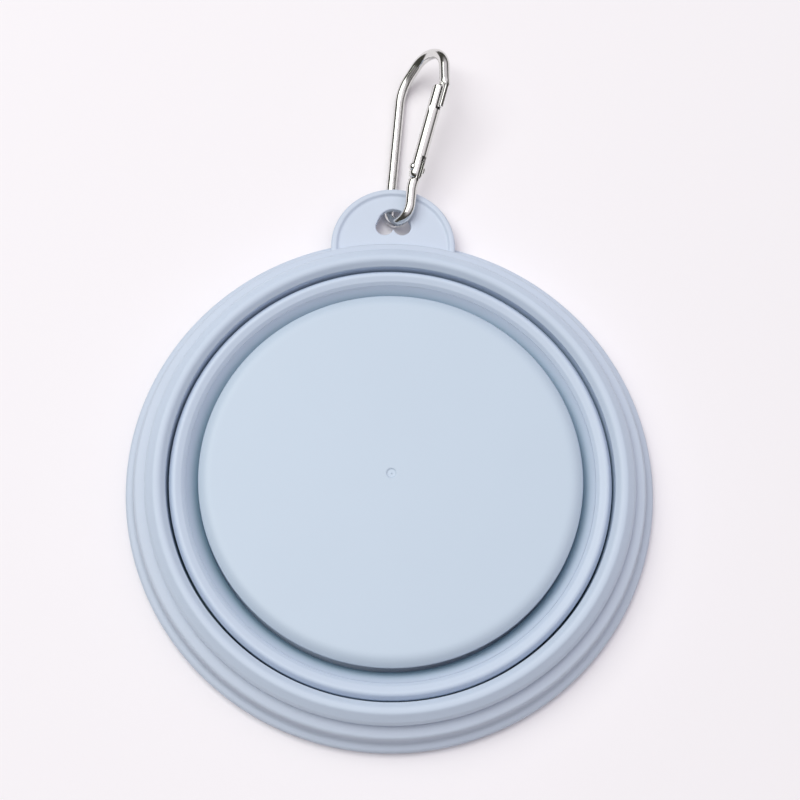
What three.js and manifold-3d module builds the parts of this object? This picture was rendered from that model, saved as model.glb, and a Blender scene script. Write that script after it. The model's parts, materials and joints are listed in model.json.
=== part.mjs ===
// Travel bowl for dogs, folded flat and lying on its rim, with a wire snap hook through its tab.
// Millimetres, +Z up. The rim rests on z = 0, the base faces up and the tab points to +Y.
import * as THREE from 'three';
import { mergeVertices } from 'three/addons/utils/BufferGeometryUtils.js';
import Module from 'manifold-3d';

// Rim: a lip that meets the table, a riser, and a flange that carries the soft ridge
const RIM_RADIUS = 65;
const LIP_WIDTH = 2;
const LIP_HEIGHT = 3.2;
const LIP_ROUND = 0.8;
const LIP_FALL = 0.6;
const FOOT_WIDTH = 1.4;
const FOOT_DRAFT = 1.2;
const RISER_DRAFT = 0.6;
const FLANGE_TOP = 7.7;
const FLANGE_THICKNESS = 2.5;
const FLANGE_WIDTH = 5.4;
const FLANGE_EDGE = 0.4;
const FLANGE_FALL = 0.3;
const BARE_FLANGE = 2.9;

// Tab: a half disc with a raised border and a heart-shaped hole, clear of the table
const TAB_RADIUS = 16;
const TAB_CENTRE_INSIDE_RIM = 2.3;
const TAB_BOTTOM = 3.15;
const TAB_THICKNESS = 1.65;
const BORDER_WIDTH = 2.2;
const BORDER_HEIGHT = 0.8;
const HOLE_FROM_TAB_CENTRE = 5.4;
const LOBE_RADIUS = 2.3;
const LOBE_ACROSS = 2.25;
const HOLE_END_RADIUS = 4;
const HOLE_END_FROM_LOBES = 1;

// Soft wall: ridge on the rim, middle band, band around the base, and two thin folds between them
const RIDGE_HEIGHT = 4.4;
const RIDGE_WIDTH = 5.2;
const RIDGE_LIP = 2.8;
const RIDGE_WALL = 1;
const RIDGE_SKIRT = 2.8;
const RIDGE_SLOPE_WIDTH = 2.4;
const RIDGE_SLOPE_DROP = 1.9;
const RIDGE_CREST = 0.4;
const RIDGE_FALL = 2.2;
const SLOT_GAP = 0.5;
const BAND_WIDTH = 4.1;
const BAND_BELOW_RIDGE = 1.4;
const BAND_LIP = 1.5;
const BAND_FLANK = 1.6;
const BAND_CREST = 1.1;
const BAND_FALL = 0.9;
const BAND_WALL = 1.4;
const BAND_DRAFT = 0.2;
const GROOVE_WIDTH = 3.2;
const FOLD_THICKNESS = 0.9;
const FOLD_ROOT_INSET = 0.2;
const OUTER_FOLD_LEAN = 0.5;
const INNER_FOLD_LEAN = 2.2;
const FOOT_CLEARANCE = 0.6;
const FOOT_THICKNESS = 1;
const BOND_GAP = 0.05;

// Base: a hard plate with the small dimple that its moulding gate leaves
const BASE_BELOW_RIDGE = 0.1;
const BASE_THICKNESS = 1.8;
const BASE_ROUND = 1.6;
const BASE_BAND_WALL = 1.7;
const BASE_BAND_INSET = 0.1;
const BASE_BAND_DRAFT = 0.8;
const GATE_MARK_RADIUS = 1.25;
const GATE_MARK_DEPTH = 0.25;
const GATE_MARK_SLOPE = 0.3;

// Snap hook: bent round wire whose two ends are pressed flat into tongues, and a slotted gate
const WIRE = 2.8;
const HOOK_LENGTH = 50;
const HOOK_BEND = 4;
const HEEL_STRAIGHT = 4.1;
const HEEL_BEND = 4;
const HEEL_END = 1.2;
const GATE_LEAN = THREE.MathUtils.degToRad(15.2);
const SHOULDER_TURN = THREE.MathUtils.degToRad(46);
const SHOULDER_BEND = 10;
const NOSE_BEND = 6.6;
const NOSE_LEAN = THREE.MathUtils.degToRad(-8);
const NOSE_STRAIGHT = 4.5;
const NOSE_KNEE = 3;
const NOSE_OUTWARD = 1.6;
const TONGUE_THICKNESS = 1.1;
const TONGUE_WIDTH = 2.6;
const TONGUE_ROOT = 0.6;
const HEEL_TONGUE = 2;
const NOSE_TONGUE = 6.5;
const NOSE_TONGUE_WIDTH = 2.8;
const GATE_DIAMETER = 3.5;
const GATE_EDGE = 0.3;
const GATE_BELOW_RIVET = 3.1;
const SLOT_CLEARANCE = 0.2;
const END_CLEARANCE = 0.4;
const HEEL_SLOT_PAST_TONGUE = 1.3;
const RIVET_DIAMETER = 1.2;
const RIVET_HEAD_DIAMETER = 2;
const RIVET_HEAD_HEIGHT = 0.6;
const RUNNING_CLEARANCE = 0.06;
const PLUNGER_DIAMETER = 1.36;
const PLUNGER_LENGTH = 2.8;
const PLUNGER_GAP = 0.4;
const BORE_CLEARANCE = 0.12;
const BORE_END_WALL = 2.872;
const SPRING_WIRE = 0.26;
const SPRING_TURNS = 10;
const SPRING_GAP = 0.12;

// Lie of the hook: it passes down through the hole, leans to +X and rests on the table on its spine
const HOOK_ACROSS_HOLE = 1.3;
const HOOK_ALONG_HOLE = 1.6;
const HOOK_LEAN = THREE.MathUtils.degToRad(4.4);
const HOOK_TILT = THREE.MathUtils.degToRad(48);
const TABLE_GAP = 0.05;

// Facets
const RING_SIDES = 64;
const HOLE_SIDES = 20;
const WIRE_SIDES = 10;
const WIRE_STEPS = 84;
const PIN_SIDES = 16;
const ROUND_STEPS = 3;
const SPRING_SIDES = 5;
const SPRING_STEPS_PER_TURN = 8;
const THROUGH = 2;

const PALE_BLUE = 0xc8d8e8;
const SOFT_BLUE = 0xc5d5e6;
const BRIGHT_METAL = 0xd9d9d6;

const wasm = await Module();
wasm.setup();

// Solids

function toSolid(geometry) {
  const bare = geometry.clone();
  bare.deleteAttribute('normal');
  bare.deleteAttribute('uv');
  const merged = mergeVertices(bare, 1e-4);
  return new wasm.Manifold(new wasm.Mesh({
    numProp: 3,
    vertProperties: new Float32Array(merged.attributes.position.array),
    triVerts: new Uint32Array(merged.index.array),
  }));
}

function toGeometry(solid) {
  const mesh = solid.getMesh();
  const geometry = new THREE.BufferGeometry();
  geometry.setAttribute('position', new THREE.BufferAttribute(mesh.vertProperties, 3));
  geometry.setIndex(new THREE.BufferAttribute(mesh.triVerts, 1));
  return geometry;
}

// A profile of [radius, height] points turned about Z; a profile off the axis closes on itself
function turned(profile, sides) {
  const points = profile.map(([r, z]) => new THREE.Vector2(r, z));
  if (points[0].x > 0) points.push(points[0].clone());
  return new THREE.LatheGeometry(points, sides).rotateX(Math.PI / 2);
}

// Points of an arc in a profile, both ends included
function arc(r, z, radius, from, to, steps = ROUND_STEPS) {
  return Array.from({ length: steps + 1 }, (_, i) => {
    const angle = from + (to - from) * i / steps;
    return [r + radius * Math.cos(angle), z + radius * Math.sin(angle)];
  });
}

// Points of a quarter ellipse from a crest down to a vertical edge, both ends included
function crestFall(edge, top, width, drop) {
  return arc(0, 0, 1, Math.PI / 2, Math.PI)
    .map(([across, up]) => [edge + width * (1 + across), top - drop * (1 - up)]);
}

function pin(radius, low, high, sides) {
  return new THREE.CylinderGeometry(radius, radius, high - low, sides)
    .rotateX(Math.PI / 2).translate(0, 0, (low + high) / 2);
}

function block(x0, x1, y0, y1, z0, z1) {
  return new THREE.BoxGeometry(x1 - x0, y1 - y0, z1 - z0)
    .translate((x0 + x1) / 2, (y0 + y1) / 2, (z0 + z1) / 2);
}

function polygon(radius, sides) {
  const corners = Array.from({ length: sides }, (_, i) => {
    const angle = 2 * Math.PI * i / sides;
    return new THREE.Vector2(radius * Math.cos(angle), radius * Math.sin(angle));
  });
  return new THREE.Shape(corners);
}

function plastic(color, roughness) {
  return new THREE.MeshStandardMaterial({ color, roughness, metalness: 0 });
}

function metal(roughness) {
  return new THREE.MeshStandardMaterial({ color: BRIGHT_METAL, roughness, metalness: 1 });
}

function named(name, geometry, material) {
  const mesh = new THREE.Mesh(geometry, material);
  mesh.name = name;
  return mesh;
}

// Radii from the rim inwards, and the heights that the pieces share
const lipInner = RIM_RADIUS - LIP_WIDTH;
const flangeOuter = lipInner - RISER_DRAFT;
const flangeInner = flangeOuter - FLANGE_WIDTH;
const ridgeOuter = flangeOuter - BARE_FLANGE;
const ridgeInner = ridgeOuter - RIDGE_WIDTH;
const bandOuter = ridgeInner - SLOT_GAP;
const bandInner = bandOuter - BAND_WIDTH;
const bandFoot = bandOuter - BAND_DRAFT;
const baseRadius = bandInner - GROOVE_WIDTH;
const baseBandTop = baseRadius - BASE_BAND_INSET;
const baseBandFoot = baseBandTop + BASE_BAND_DRAFT;

const ridgeTop = FLANGE_TOP + RIDGE_HEIGHT;
const bandTop = ridgeTop - BAND_BELOW_RIDGE;
const baseTop = ridgeTop - BASE_BELOW_RIDGE;
const baseBottom = baseTop - BASE_THICKNESS;
const outerRoot = ridgeTop - RIDGE_LIP;
const innerRoot = bandTop - BAND_LIP;
const footTop = FOOT_CLEARANCE + FOOT_THICKNESS;
const tabCentre = RIM_RADIUS - TAB_CENTRE_INSIDE_RIM;
const holeY = tabCentre + HOLE_FROM_TAB_CENTRE;

function bowlTab() {
  const root = tabCentre - TAB_RADIUS;
  const top = TAB_BOTTOM + TAB_THICKNESS;
  const outline = (radius) => new THREE.Shape()
    .moveTo(radius, root)
    .lineTo(radius, tabCentre)
    .absarc(0, tabCentre, radius, 0, Math.PI, false)
    .lineTo(-radius, root);
  const rise = (radius, low, high) => toSolid(new THREE.ExtrudeGeometry(outline(radius), {
    depth: high - low, bevelEnabled: false, curveSegments: HOLE_SIDES,
  }).translate(0, 0, low));
  const plate = rise(TAB_RADIUS, TAB_BOTTOM, top);
  const border = rise(TAB_RADIUS, TAB_BOTTOM, top + BORDER_HEIGHT)
    .subtract(rise(TAB_RADIUS - BORDER_WIDTH, top, top + BORDER_HEIGHT + THROUGH));
  const low = TAB_BOTTOM - THROUGH;
  const high = top + BORDER_HEIGHT + THROUGH;
  const insideRim = (lipInner + lipInner - FOOT_WIDTH) / 2;
  return plate.add(border)
    .subtract(toSolid(pin(insideRim, low, high, RING_SIDES)))
    .subtract(heartHole(low, high));
}

// Two round lobes towards the rim that run together into one round end
function heartHole(low, high) {
  const hole = (radius, x, y) => toSolid(pin(radius, low, high, HOLE_SIDES).translate(x, holeY + y, 0));
  const lobes = [-LOBE_ACROSS, LOBE_ACROSS].map((x) => hole(LOBE_RADIUS, x, 0));
  const end = hole(HOLE_END_RADIUS, 0, HOLE_END_FROM_LOBES);
  const body = wasm.Manifold.hull([...lobes, end]).trimByPlane([0, 1, 0], holeY);
  return body.add(lobes[0]).add(lobes[1]);
}

function rimRing() {
  const footOuter = RIM_RADIUS - LIP_ROUND;
  const footInner = footOuter - FOOT_WIDTH;
  const ring = turned([
    [footInner, 0],
    ...arc(footOuter, LIP_ROUND, LIP_ROUND, -Math.PI / 2, 0),
    ...arc(footOuter, LIP_HEIGHT - LIP_FALL - LIP_ROUND, LIP_ROUND, 0, Math.PI / 2),
    [lipInner, LIP_HEIGHT],
    [flangeOuter, FLANGE_TOP - FLANGE_FALL - FLANGE_EDGE],
    [flangeOuter - FLANGE_EDGE, FLANGE_TOP - FLANGE_FALL],
    [ridgeOuter, FLANGE_TOP],
    [flangeInner, FLANGE_TOP],
    [flangeInner, FLANGE_TOP - FLANGE_THICKNESS],
    [footInner - FOOT_DRAFT, FLANGE_TOP - FLANGE_THICKNESS],
  ], RING_SIDES);
  return named('rim_ring', toGeometry(toSolid(ring).add(bowlTab())), plastic(PALE_BLUE, 0.42));
}

// Soft ridge: a hump on the flange, sloped to both sides, with a skirt that wraps the flange's inner edge
function rimBead() {
  const skirtOuter = flangeInner - BOND_GAP;
  const skirtInner = skirtOuter - RIDGE_WALL;
  const seat = FLANGE_TOP + BOND_GAP;
  const section = turned([
    [skirtInner, FLANGE_TOP - RIDGE_SKIRT],
    [skirtOuter, FLANGE_TOP - RIDGE_SKIRT],
    [skirtOuter, seat],
    [ridgeOuter, seat],
    [ridgeOuter, ridgeTop - RIDGE_SLOPE_DROP],
    [ridgeOuter - RIDGE_SLOPE_WIDTH / 4, ridgeTop - RIDGE_SLOPE_DROP * 2 / 3],
    [ridgeOuter - RIDGE_SLOPE_WIDTH, ridgeTop],
    ...crestFall(ridgeInner, ridgeTop, RIDGE_WIDTH - RIDGE_SLOPE_WIDTH - RIDGE_CREST, RIDGE_FALL),
    [ridgeInner, outerRoot],
    [skirtInner, outerRoot],
  ], RING_SIDES);
  return named('rim_bead', section, plastic(SOFT_BLUE, 0.5));
}

// A thin web that hangs from a band's lip, leans inwards and turns under to the next band's foot
function fold(name, lipEdge, root, lean, wall) {
  const rootInner = lipEdge + FOLD_ROOT_INSET;
  const rootOuter = rootInner + FOLD_THICKNESS;
  const inner = wall + BOND_GAP;
  const section = turned([
    [inner, FOOT_CLEARANCE],
    [rootOuter - lean, FOOT_CLEARANCE],
    [rootOuter - lean, footTop],
    [rootOuter, root - BOND_GAP],
    [rootInner, root - BOND_GAP],
    [rootInner - lean, footTop],
    [inner, footTop],
  ], RING_SIDES);
  return named(name, section, plastic(SOFT_BLUE, 0.55));
}

// Middle band: a rounded crest with a sloped outer flank over a straight wall
function middleBand() {
  const wallInner = bandFoot - BAND_WALL;
  const section = turned([
    [wallInner, FOOT_CLEARANCE],
    [bandFoot, FOOT_CLEARANCE],
    [bandFoot, footTop],
    [bandOuter, innerRoot - BAND_FLANK],
    [bandOuter, bandTop - BAND_FLANK],
    [bandOuter - BAND_FLANK / 2, bandTop - BAND_FLANK / 4],
    [bandOuter - BAND_FLANK, bandTop],
    ...crestFall(bandInner, bandTop, BAND_WIDTH - BAND_FLANK - BAND_CREST, BAND_FALL),
    [bandInner, innerRoot],
    [wallInner - FOLD_ROOT_INSET, innerRoot],
    [wallInner, innerRoot - FOLD_ROOT_INSET],
  ], RING_SIDES);
  return named('middle_band', section, plastic(SOFT_BLUE, 0.5));
}

function baseBand() {
  const top = baseBottom - BOND_GAP;
  const section = turned([
    [baseBandFoot - BASE_BAND_WALL, FOOT_CLEARANCE],
    [baseBandFoot, FOOT_CLEARANCE],
    [baseBandFoot, footTop],
    [baseBandTop, top],
    [baseBandTop - BASE_BAND_WALL, top],
  ], RING_SIDES);
  return named('base_band', section, plastic(SOFT_BLUE, 0.55));
}

function basePlate() {
  const markFloor = baseTop - GATE_MARK_DEPTH;
  const plate = turned([
    [0, baseBottom],
    [baseRadius, baseBottom],
    ...arc(baseRadius - BASE_ROUND, baseTop - BASE_ROUND, BASE_ROUND, 0, Math.PI / 2),
    [GATE_MARK_RADIUS, baseTop],
    [GATE_MARK_RADIUS - GATE_MARK_SLOPE, markFloor],
    [0, markFloor],
  ], RING_SIDES);
  return named('base_plate', plate, plastic(PALE_BLUE, 0.42));
}

// Snap hook, drawn flat: X from the spine to the gate, Y from the narrow bend to the nose, Z across the wire

// Path of straight runs and arcs: each step has a length and the angle by which it turns to the right
class WirePath extends THREE.Curve {
  constructor(start, heading, steps) {
    super();
    this.start = start;
    this.heading = heading;
    this.steps = steps;
    this.total = steps.reduce((sum, step) => sum + step.length, 0);
  }

  getPoint(t, target = new THREE.Vector3()) {
    let left = t * this.total;
    let { x, y } = this.start;
    let heading = this.heading;
    for (const { length, turn } of this.steps) {
      const run = Math.min(left, length);
      const turned = turn * run / length;
      const chord = turn === 0 ? run : 2 * (length / turn) * Math.sin(turned / 2);
      x += chord * Math.sin(heading + turned / 2);
      y += chord * Math.cos(heading + turned / 2);
      heading += turned;
      left -= run;
    }
    return target.set(x, y, 0);
  }
}

const straight = (length) => ({ length, turn: 0 });
const bend = (radius, turn) => ({ length: radius * Math.abs(turn), turn });

// The gate lies on a line through its pivot, square to the wire of the nose and of the heel
const gateRadius = GATE_DIAMETER / 2;
const along = new THREE.Vector2(Math.sin(GATE_LEAN), Math.cos(GATE_LEAN));
const outward = new THREE.Vector2(Math.cos(GATE_LEAN), -Math.sin(GATE_LEAN));
const heelEnd = new THREE.Vector2(2 * HOOK_BEND, HEEL_STRAIGHT)
  .addScaledVector(new THREE.Vector2(1 - Math.cos(GATE_LEAN), Math.sin(GATE_LEAN)), HEEL_BEND)
  .addScaledVector(along, HEEL_END);
const pivot = heelEnd.clone().addScaledVector(along, GATE_BELOW_RIVET + END_CLEARANCE);

// The nose ends on a line beside the gate's, turned onto it by a small knee; the bend before it reaches the
// hook's full length, and a straight joins that to the shoulder
const kneeTurn = GATE_LEAN - NOSE_LEAN;
const noseReach = NOSE_BEND * Math.cos(kneeTurn)
  + NOSE_STRAIGHT * Math.sin(kneeTurn)
  + NOSE_KNEE * (1 - Math.cos(kneeTurn));
const noseY = HOOK_LENGTH - WIRE - HOOK_BEND - NOSE_BEND;
const noseOffset = pivot.dot(outward) + NOSE_OUTWARD - noseReach;
const noseX = (noseOffset + noseY * Math.sin(GATE_LEAN)) / Math.cos(GATE_LEAN);
const bendStep = NOSE_BEND - SHOULDER_BEND;
const shoulderRun = (noseX - SHOULDER_BEND - bendStep * Math.cos(SHOULDER_TURN)) / Math.sin(SHOULDER_TURN);
const spineRun = noseY - shoulderRun * Math.cos(SHOULDER_TURN) + bendStep * Math.sin(SHOULDER_TURN);
const noseAlongGate = new THREE.Vector2(noseX, noseY).sub(pivot).dot(along)
  + NOSE_BEND * Math.sin(kneeTurn)
  - NOSE_STRAIGHT * Math.cos(kneeTurn)
  - NOSE_KNEE * Math.sin(kneeTurn);
const gateTop = noseAlongGate - END_CLEARANCE;

// Moves a shape drawn about the gate's pivot, Y along the gate, into the hook's plane
function ontoGate(geometry) {
  return geometry.rotateZ(-GATE_LEAN).translate(pivot.x, pivot.y, 0);
}

function hookFrame() {
  const path = new WirePath(heelEnd, Math.PI + GATE_LEAN, [
    straight(HEEL_END),
    bend(HEEL_BEND, -GATE_LEAN),
    straight(HEEL_STRAIGHT),
    bend(HOOK_BEND, Math.PI),
    straight(spineRun),
    bend(SHOULDER_BEND, SHOULDER_TURN),
    straight(shoulderRun),
    bend(NOSE_BEND, Math.PI + NOSE_LEAN - SHOULDER_TURN),
    straight(NOSE_STRAIGHT),
    bend(NOSE_KNEE, kneeTurn),
  ]);
  const wire = new THREE.ExtrudeGeometry(polygon(WIRE / 2, WIRE_SIDES), {
    steps: WIRE_STEPS, extrudePath: path,
  });
  const half = TONGUE_THICKNESS / 2;
  const heelRoot = -GATE_BELOW_RIVET - END_CLEARANCE - TONGUE_ROOT;
  const heelBlade = block(-TONGUE_WIDTH / 2, TONGUE_WIDTH / 2, heelRoot, HEEL_TONGUE, -half, half);
  const noseTip = noseAlongGate - NOSE_TONGUE;
  const noseRoot = noseAlongGate + TONGUE_ROOT;
  const noseBlade = block(-NOSE_TONGUE_WIDTH / 2, NOSE_TONGUE_WIDTH / 2, noseTip, noseRoot, -half, half)
    .translate(NOSE_OUTWARD, 0, 0);
  const rivetHole = pin(RIVET_DIAMETER / 2 + RUNNING_CLEARANCE, -THROUGH, THROUGH, PIN_SIDES);
  const frame = toSolid(wire)
    .add(toSolid(ontoGate(heelBlade)))
    .add(toSolid(ontoGate(noseBlade)))
    .subtract(toSolid(ontoGate(rivetHole)));
  return named('hook_frame', toGeometry(frame), metal(0.14));
}

// Gate and what turns with it, drawn about the pivot with Y along the gate

const slotHalf = TONGUE_THICKNESS / 2 + SLOT_CLEARANCE;
const heelSlotEnd = HEEL_TONGUE + HEEL_SLOT_PAST_TONGUE;
const plungerTip = HEEL_TONGUE + PLUNGER_GAP;
const springFoot = plungerTip + PLUNGER_LENGTH + SPRING_GAP;
const boreRadius = PLUNGER_DIAMETER / 2 + BORE_CLEARANCE;
const noseSlotEnd = noseAlongGate - NOSE_TONGUE - END_CLEARANCE;
const boreEnd = noseSlotEnd - BORE_END_WALL;
const springLength = boreEnd - SPRING_GAP - springFoot;

function hookGate() {
  const body = turned([
    ...arc(0, gateRadius - GATE_BELOW_RIVET, gateRadius, -Math.PI / 2, 0, 2 * ROUND_STEPS),
    [gateRadius, gateTop - GATE_EDGE],
    [gateRadius - GATE_EDGE, gateTop],
    [0, gateTop],
  ], PIN_SIDES).rotateX(-Math.PI / 2);
  const beyond = gateRadius + THROUGH;
  const noseFloor = NOSE_OUTWARD - NOSE_TONGUE_WIDTH / 2 - SLOT_CLEARANCE;
  const heelSlot = block(-beyond, beyond, -GATE_BELOW_RIVET - THROUGH, heelSlotEnd, -slotHalf, slotHalf);
  const noseSlot = block(noseFloor, beyond, noseSlotEnd, gateTop + THROUGH, -slotHalf, slotHalf);
  const bore = pin(boreRadius, -boreEnd, 0, PIN_SIDES).rotateX(Math.PI / 2);
  const rivetHole = pin(RIVET_DIAMETER / 2 + BOND_GAP, -beyond, beyond, PIN_SIDES);
  const gate = toSolid(body)
    .subtract(toSolid(heelSlot))
    .subtract(toSolid(noseSlot))
    .subtract(toSolid(bore))
    .subtract(toSolid(rivetHole));
  return named('hook_gate', toGeometry(gate), metal(0.18));
}

function gateRivet() {
  const shaft = RIVET_DIAMETER / 2;
  const head = RIVET_HEAD_DIAMETER / 2;
  const seat = gateRadius + BOND_GAP;
  const top = seat + RIVET_HEAD_HEIGHT;
  const edge = seat + RIVET_HEAD_HEIGHT / 3;
  const section = turned([
    [0, -top],
    [shaft, -top],
    [head, -edge],
    [head, -seat],
    [shaft, -seat],
    [shaft, seat],
    [head, seat],
    [head, edge],
    [shaft, top],
    [0, top],
  ], PIN_SIDES);
  return named('gate_rivet', section, metal(0.25));
}

function gatePlunger() {
  const body = pin(PLUNGER_DIAMETER / 2, 0, PLUNGER_LENGTH, PIN_SIDES)
    .rotateX(-Math.PI / 2).translate(0, plungerTip, 0);
  return named('gate_plunger', body, metal(0.3));
}

class Helix extends THREE.Curve {
  getPoint(t, target = new THREE.Vector3()) {
    const angle = 2 * Math.PI * SPRING_TURNS * t;
    const radius = boreRadius - SPRING_WIRE / 2 - SPRING_GAP;
    const rise = springFoot + SPRING_WIRE / 2 + t * (springLength - SPRING_WIRE);
    return target.set(radius * Math.cos(angle), rise, radius * Math.sin(angle));
  }
}

function gateSpring() {
  const coil = new THREE.ExtrudeGeometry(polygon(SPRING_WIRE / 2, SPRING_SIDES), {
    steps: SPRING_TURNS * SPRING_STEPS_PER_TURN, extrudePath: new Helix(),
  });
  return named('gate_spring', coil, metal(0.35));
}

// The hook swings about the vertical through the hole; inside that it is tilted about its spine
function snapHook() {
  const gate = new THREE.Group();
  gate.position.set(pivot.x, pivot.y, 0);
  gate.rotation.z = -GATE_LEAN;
  gate.add(hookGate(), gateRivet(), gateSpring(), gatePlunger());
  const tilted = new THREE.Group();
  tilted.position.set(-HOOK_BEND * Math.cos(HOOK_TILT), HOOK_BEND, WIRE / 2 + TABLE_GAP);
  tilted.rotation.y = -HOOK_TILT;
  tilted.add(hookFrame(), gate);
  const swing = new THREE.Group();
  swing.position.set(HOOK_ACROSS_HOLE, holeY + HOOK_ALONG_HOLE, 0);
  swing.rotation.z = -HOOK_LEAN;
  swing.add(tilted);
  return swing;
}

const bowl = new THREE.Group();
bowl.add(rimRing(), rimBead(), middleBand(), baseBand(), basePlate());
bowl.add(fold('outer_fold', ridgeInner, outerRoot, OUTER_FOLD_LEAN, bandFoot));
bowl.add(fold('inner_fold', bandInner, innerRoot, INNER_FOLD_LEAN, baseBandFoot));
bowl.add(snapHook());

// The origin lies under the middle of the whole part, hook included
const extent = new THREE.Box3().setFromObject(bowl, true);
bowl.position.y = -(extent.min.y + extent.max.y) / 2;

export default bowl;
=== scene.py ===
"""Collapsible travel bowl for dogs, folded flat on its rim, with a wire snap hook through its tab.

Every piece is a surface worked out with numpy, in metres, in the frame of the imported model: +Z is up, the
table is at z = 0 and the tab points to +Y.
"""

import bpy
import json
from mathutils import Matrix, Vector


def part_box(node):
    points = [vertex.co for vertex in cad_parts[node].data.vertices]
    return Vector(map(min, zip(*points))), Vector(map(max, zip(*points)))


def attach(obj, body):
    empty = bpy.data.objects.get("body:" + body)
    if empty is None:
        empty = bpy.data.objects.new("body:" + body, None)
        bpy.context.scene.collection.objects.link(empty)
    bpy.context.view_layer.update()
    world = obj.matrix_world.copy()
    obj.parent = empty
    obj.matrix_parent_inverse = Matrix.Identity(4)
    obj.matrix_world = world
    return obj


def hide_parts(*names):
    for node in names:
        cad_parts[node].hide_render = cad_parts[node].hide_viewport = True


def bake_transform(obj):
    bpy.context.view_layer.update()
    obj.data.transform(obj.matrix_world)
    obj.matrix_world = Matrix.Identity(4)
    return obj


bl_info = {
    "name": "Collapsible Dog Bowl",
    "version": (1, 0, 0),
    "blender": (4, 5, 0),
    "location": "View3D > Sidebar > Dog Bowl",
    "description": "Makes the surfaces of a folding travel bowl and its snap hook, and the stage they lie on",
    "category": "Object",
}

import json
import math

import bpy
import numpy as np
from bpy.props import FloatProperty, FloatVectorProperty, PointerProperty
from bpy.types import Operator, Panel, PropertyGroup
from mathutils import Matrix

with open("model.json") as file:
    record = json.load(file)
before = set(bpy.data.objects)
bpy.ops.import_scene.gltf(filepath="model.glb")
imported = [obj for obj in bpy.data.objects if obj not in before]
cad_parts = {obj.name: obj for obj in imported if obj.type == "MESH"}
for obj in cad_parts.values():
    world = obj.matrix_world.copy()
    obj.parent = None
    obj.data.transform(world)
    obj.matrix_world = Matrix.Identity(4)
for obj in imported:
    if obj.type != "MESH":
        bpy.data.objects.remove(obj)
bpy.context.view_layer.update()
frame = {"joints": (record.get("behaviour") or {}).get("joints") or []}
MM = 0.001

# Fineness of the surfaces
RING_SIDES = 288
ARC_STEPS = 6
TAB_SIDES = 360
WIRE_SIDES = 40
GATE_POINTS = 41
CHEEK_POINTS = 24
PIN_SIDES = 48
SPRING_SIDES = 10
SPRING_STEPS_PER_TURN = 24
WEB_POINTS = 48
FILL_STEPS = 9
CREST_ROWS, FALL_ROWS, FLAT_ROWS, UNDER_ROWS = 4, 11, 8, 6
MARK_RINGS, FLAT_RINGS, EDGE_RINGS, UNDER_RINGS = 9, 6, 15, 5
SLEEVE_RINGS, SLOT_RINGS, FOOT_RINGS, CHEEK_RINGS = 12, 8, 14, 8
DOME_RINGS, PLUNGER_RINGS = 9, 7
PATH_STEP = 0.3 * MM
PATH_TURN = math.radians(5)

# Edges past these angles aren't smoothed
CREASE = math.radians(50)
HOOK_CREASE = math.radians(38)

# Small radii and gaps of the mouldings
BOND = 0.05 * MM
KEEN_EDGE = 0.05 * MM
CRISP_EDGE = 0.1 * MM
FINE_EDGE = 0.2 * MM
MOULD_EDGE = 0.3 * MM
BLUNT_EDGE = 0.4 * MM
FULL_EDGE = 0.5 * MM
FLARE_ROUND = 1.0 * MM
BORDER_ROUND = 2.4  # of the tab's edge rounding
BORDER_PAST = 1.05  # of the border's fall
ROW_GAP = 0.02 * MM
WEB_LIFT = 0.08 * MM
WEB_TURN = 1.6  # of half the web's thickness

# Base plate: shares of the gate mark's radius, the edge, and the share of the underside that has rings
MARK_START, MARK_RUN, FLAT_START = 0.72, 0.36, 1.3
EDGE_POWER = 2.5
EDGE_INSET, EDGE_DROP = 0.02 * MM, 0.08 * MM
UNDER_SHARE = 0.8

# Small forms of the hook
TIP_ROUND = 0.2 * MM
TIP_SHARE = 0.75
BAR_POWER = 5
DOME_START = 0.12
PLUNGER_EDGE = 0.15 * MM

# Cells and depths of the materials' relief
SINK_CELL, SINK_DEPTH = 18 * MM, 0.02 * MM
FLOW_CELL, FLOW_DEPTH = 6 * MM, 0.008 * MM
SOFT_CELL = 9 * MM
HARD_GRAIN, SOFT_GRAIN, GRAIN_DEPTH = 0.35 * MM, 0.3 * MM, 0.004 * MM
SCRATCH_CELL, SCRATCH_DEPTH = 0.12 * MM, 0.0006 * MM
WEAR_CELL, WEAR_DEPTH = 1.6 * MM, 0.003 * MM
TOOTH_CELL, TOOTH_DEPTH = 0.8 * MM, 0.005 * MM

# How far the roughness varies, and the shade of worn metal and the stretch of its streaks
HARD_SPREAD, SOFT_SPREAD, METAL_SPREAD = 0.05, 0.06, 0.055
PLATING_WEAR, PLATING_STREAK = 0.9, 14
STEEL_WEAR, STEEL_STREAK = 0.8, 4

# Stage
CARD_ROUGHNESS = 0.9
NEAR_CLIP = 10 * MM


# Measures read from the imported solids

def radius(node):
    """Half of a turned node's width."""
    low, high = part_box(node)
    return (high[0] - low[0]) / 2


def bottom(node):
    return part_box(node)[0][2]


def top(node):
    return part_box(node)[1][2]


def joint(name):
    return next(j for j in frame["joints"] if j["name"] == name)


AXIS_Y = (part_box("base_plate")[0][1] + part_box("base_plate")[1][1]) / 2


# Settings

def size(name, description, millimetres):
    """A length, given here in millimetres and kept in metres."""
    return FloatProperty(name=name, description=description, default=millimetres * MM, unit="LENGTH",
                         precision=4)


def turn(name, description, degrees):
    return FloatProperty(name=name, description=description, default=math.radians(degrees), unit="ROTATION")


def share(name, description, default):
    return FloatProperty(name=name, description=description, default=default, min=0.0, soft_max=1.0)


def colour(name, description, default):
    return FloatVectorProperty(name=name, description=description, default=default, subtype="COLOR",
                               min=0.0, max=1.0, size=3)


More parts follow.
